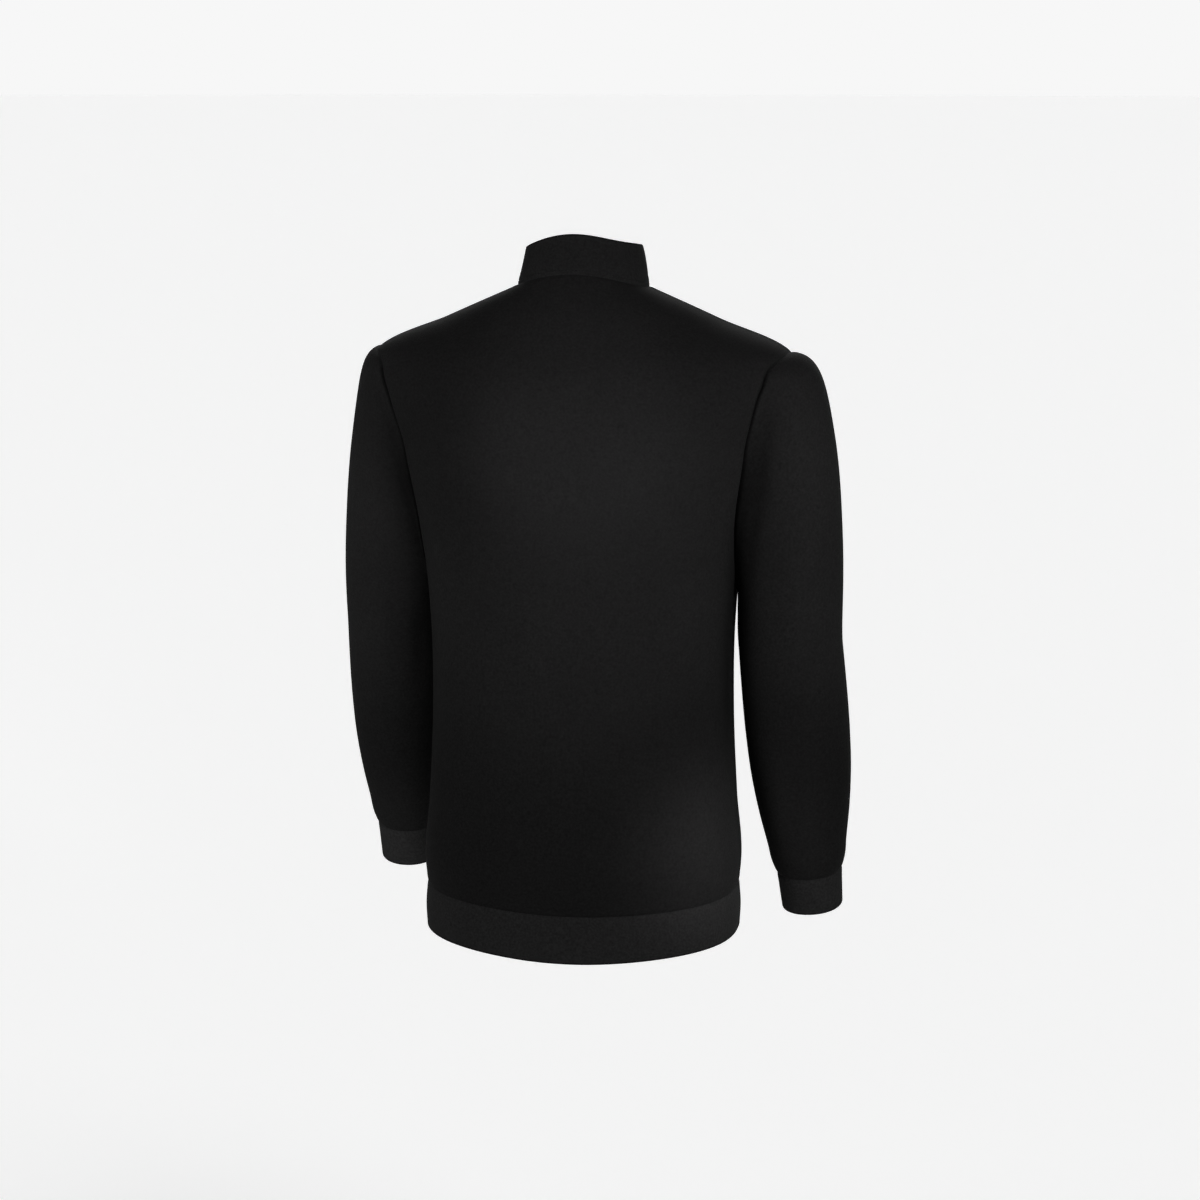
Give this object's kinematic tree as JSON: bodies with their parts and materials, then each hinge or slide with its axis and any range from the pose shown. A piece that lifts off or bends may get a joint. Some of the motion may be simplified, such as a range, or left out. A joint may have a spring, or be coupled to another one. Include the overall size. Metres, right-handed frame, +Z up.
{
  "type": "track jacket",
  "caption": "Worn-shape track jacket with set-in sleeves, stand collar, cuffs, hem band and a closed front zip; open at neck, wrists and hem.",
  "frame": {"origin": "middle of the neck, level with the points where the collar meets the shoulder seams", "axes": "+Z up, -Y out of the zip front, +X to the wearer's left"},
  "size_m": [0.5535, 0.308, 0.747],
  "materials": {
    "body_knit": "matt black smooth double knit",
    "band_knit": "the same black knit, folded double",
    "tape_weave": "black woven tape",
    "zip_plastic": "black moulded plastic",
    "slider_metal": "black lacquered zinc"
  },
  "bodies": {
    "jacket": {"back": "body_knit", "front_left": "body_knit", "front_right": "body_knit", "sleeve_left": "body_knit", "sleeve_right": "body_knit", "collar": "band_knit", "hem_band": "band_knit", "cuff_left": "band_knit", "cuff_right": "band_knit", "zip_tape_left": "tape_weave", "zip_tape_right": "tape_weave", "zip_chain": "zip_plastic", "zip_box": "zip_plastic", "zip_slider": "slider_metal"},
    "pull": {"zip_pull": "slider_metal"}
  },
  "joints": [
    {"name": "pull_swing", "type": "hinge", "parent": "jacket", "child": "pull", "pos_m": [0, -0.0734, -0.012], "axis": [-1, 0, 0], "range_deg": [0, 160]}
  ]
}
